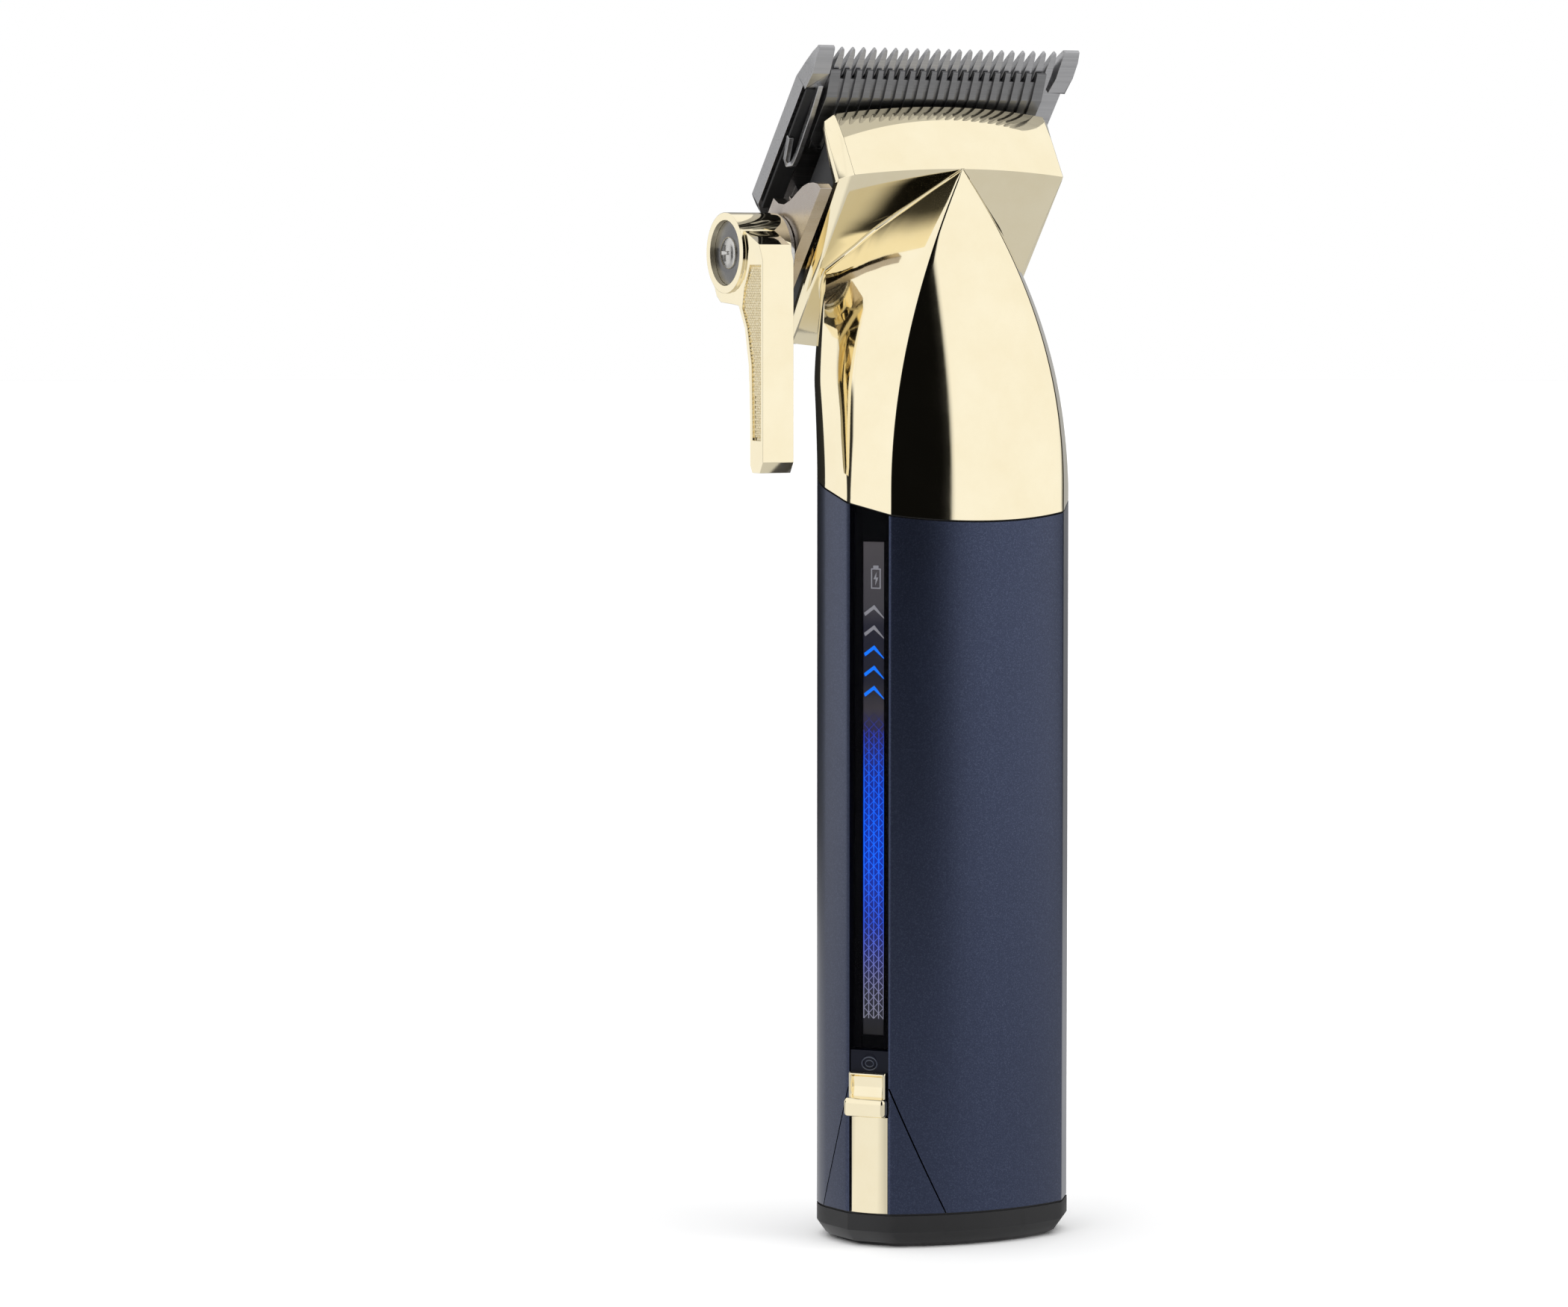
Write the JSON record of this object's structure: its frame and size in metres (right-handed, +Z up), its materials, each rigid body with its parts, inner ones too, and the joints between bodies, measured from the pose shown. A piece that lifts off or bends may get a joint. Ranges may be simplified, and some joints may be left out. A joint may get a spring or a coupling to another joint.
{
  "type": "hair clipper",
  "caption": "Upright cordless hair clipper: oval grip with a light strip and slide switch, forward-leaning head, comb and cutter blades, and a side taper lever.",
  "frame": {"origin": "centre of the base cap's underside, where the charging inlet opens", "axes": "+Z up along the grip to the blade; -Y is the front with the pointed gold face; -X is the side with the taper lever and light strip"},
  "size_m": [0.0535, 0.0379, 0.1774],
  "materials": {
    "gold_plate": "polished pale gold plating",
    "navy_metal": "navy metallic fine-grain satin",
    "black_plastic": "matt black",
    "dark_plastic": "satin dark grey",
    "comb_steel": "fine-ground grey coated steel",
    "cutter_steel": "dark carbon-coated steel",
    "bright_steel": "bright steel",
    "smoked_glass": "smoked gloss window",
    "light_strip": "blue lit light guide",
    "board_green": "solder-masked board",
    "cell_wrap": "shrink-wrapped cell",
    "lead_red": "insulated wire",
    "brass": "turned brass",
    "gasket": "black seal"
  },
  "bodies": {
    "grip": {"base_cap": "black_plastic", "charging_socket": "black_plastic", "charging_pin": "bright_steel", "cap_screws": "bright_steel", "body_shell": "navy_metal", "lower_side_panel": "navy_metal", "seam_gasket": "gasket", "head_housing": "gold_plate", "blade_frame": "dark_plastic", "rear_cover": "dark_plastic", "pivot_bush": "brass", "light_window": "smoked_glass", "light_panel": "light_strip", "led_board": "board_green", "switch_deck": "navy_metal", "slider_trim": "gold_plate", "slide_switch": "black_plastic", "battery": "cell_wrap", "battery_holder": "black_plastic", "main_board": "board_green", "motor": "bright_steel", "motor_bracket": "bright_steel", "motor_screws": "bright_steel", "motor_leads": "lead_red"},
    "rotor": {"motor_shaft": "bright_steel", "drive_eccentric": "brass"},
    "cutter": {"moving_blade": "cutter_steel", "cutter_guide": "black_plastic", "cutter_yoke": "black_plastic"},
    "comb_carriage": {"fixed_blade": "comb_steel", "blade_carriage": "bright_steel", "blade_screws": "bright_steel", "tension_spring": "bright_steel"},
    "lever": {"taper_lever": "gold_plate", "lever_cam": "bright_steel", "lever_screw": "bright_steel"},
    "slider": {"power_slider": "gold_plate"}
  },
  "joints": [
    {"name": "motor_spin", "type": "hinge", "parent": "grip", "child": "rotor", "pos_m": [0, 0.002, 0.145], "axis": [0, 0, 1], "continuous": true},
    {"name": "cutter_slide", "type": "slide", "parent": "grip", "child": "cutter", "axis": [1, 0, 0], "range_m": [-0.0002, 0.002]},
    {"name": "taper_lever_pivot", "type": "hinge", "parent": "grip", "child": "lever", "pos_m": [-0.027, 0.01, 0.147], "axis": [-1, 0, 0], "range_deg": [0, 40]},
    {"name": "comb_travel", "type": "slide", "parent": "grip", "child": "comb_carriage", "axis": [0, 0.6428, -0.766], "range_m": [0, 0.00301]},
    {"name": "power_switch", "type": "slide", "parent": "grip", "child": "slider", "axis": [0, 0, 1], "range_m": [0, 0.003]}
  ],
  "couplings": [
    {"joint": "taper_lever_pivot", "follows": "comb_travel", "rad_per_m": 231.96}
  ]
}
